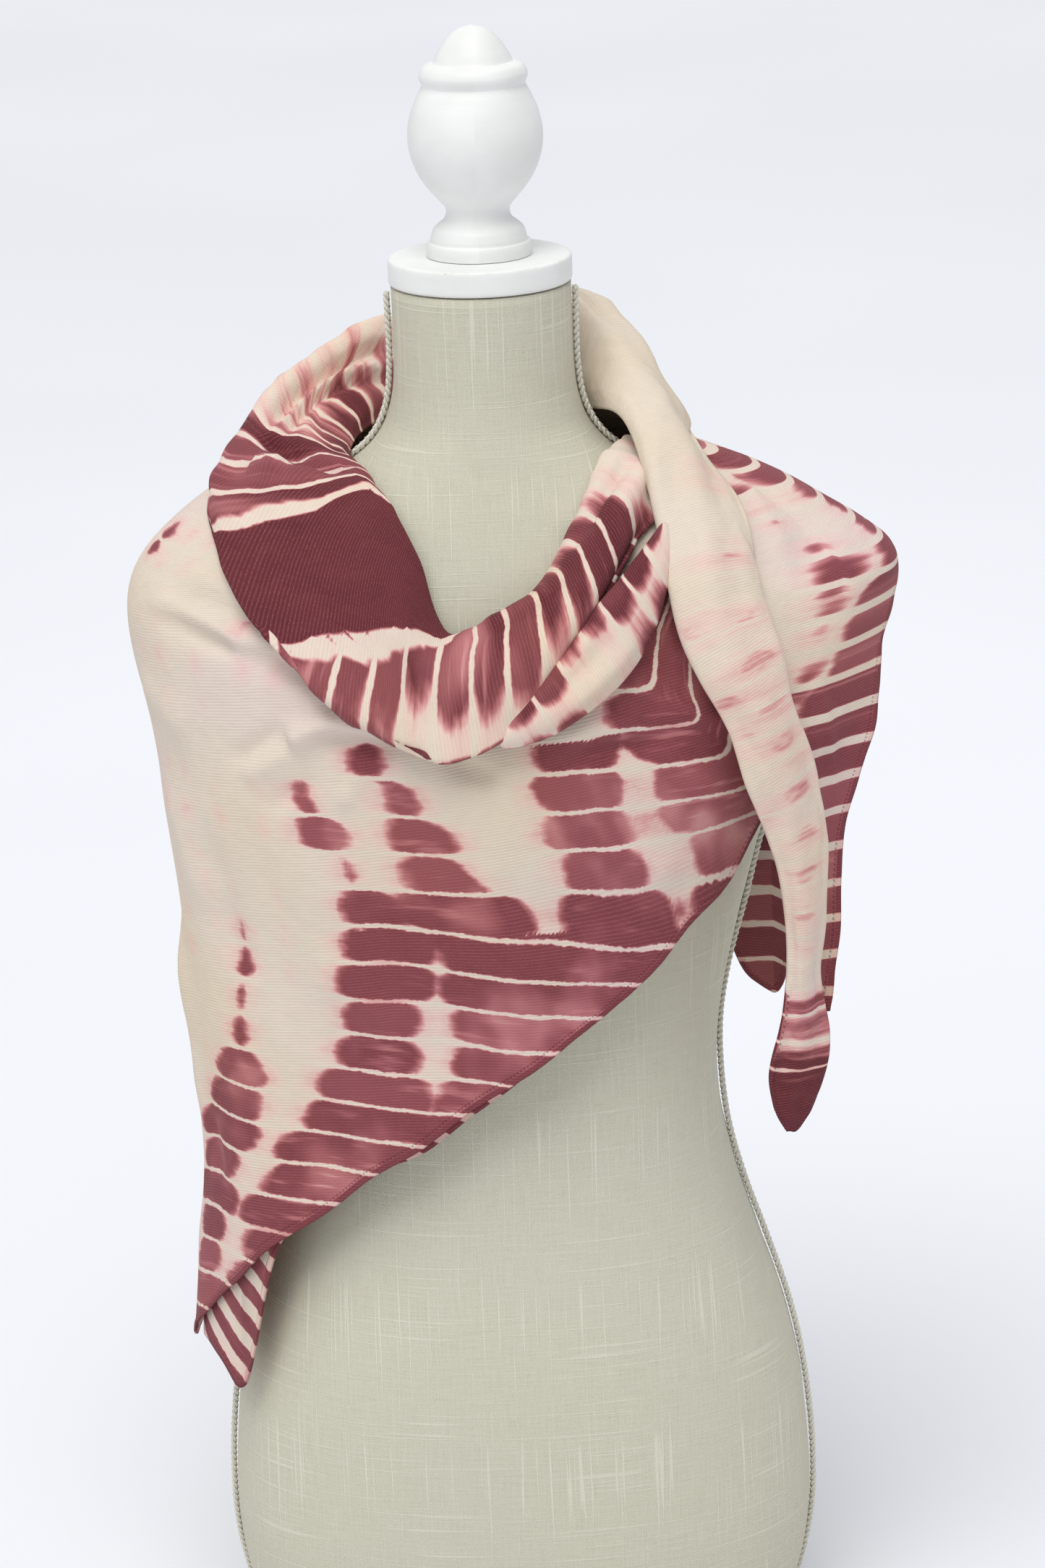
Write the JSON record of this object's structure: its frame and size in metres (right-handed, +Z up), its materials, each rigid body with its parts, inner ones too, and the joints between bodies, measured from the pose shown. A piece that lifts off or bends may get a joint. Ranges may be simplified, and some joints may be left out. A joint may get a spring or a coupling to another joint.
{
  "type": "cashmere shawl on a limbless dress form",
  "caption": "Square twill shawl with resist-dyed bands, folded to a triangle and wrapped into a cowl with one hanging end, on a limbless linen dress form with a turned finial.",
  "frame": {"origin": "on the form's axis, at its flat base", "axes": "+Z up along the form's axis, -Y the way the form's front faces, +X towards the wearer's left"},
  "size_m": [0.4321, 0.2654, 0.9625],
  "materials": {
    "linen": "slubby plain-weave linen, beige grey",
    "paint": "turned wood in matt white paint",
    "cord": "off-white braided cotton cord",
    "twill_cream": "fine cashmere twill, mostly undyed cream",
    "twill_rose": "fine cashmere twill, cream with burgundy resist-dyed bands",
    "twill_burgundy": "fine cashmere twill, mostly burgundy"
  },
  "bodies": {
    "root": {"form_torso": "linen", "form_disc": "paint", "form_finial": "paint", "form_braid_left": "cord", "form_braid_right": "cord", "shawl_front": "twill_rose", "shawl_back": "twill_rose", "shawl_corner": "twill_burgundy", "shawl_under": "twill_burgundy", "shawl_shoulder": "twill_cream", "shawl_tail": "twill_cream", "shawl_cowl": "twill_rose", "shawl_collar": "twill_cream", "shawl_second_roll": "twill_rose"}
  },
  "joints": []
}
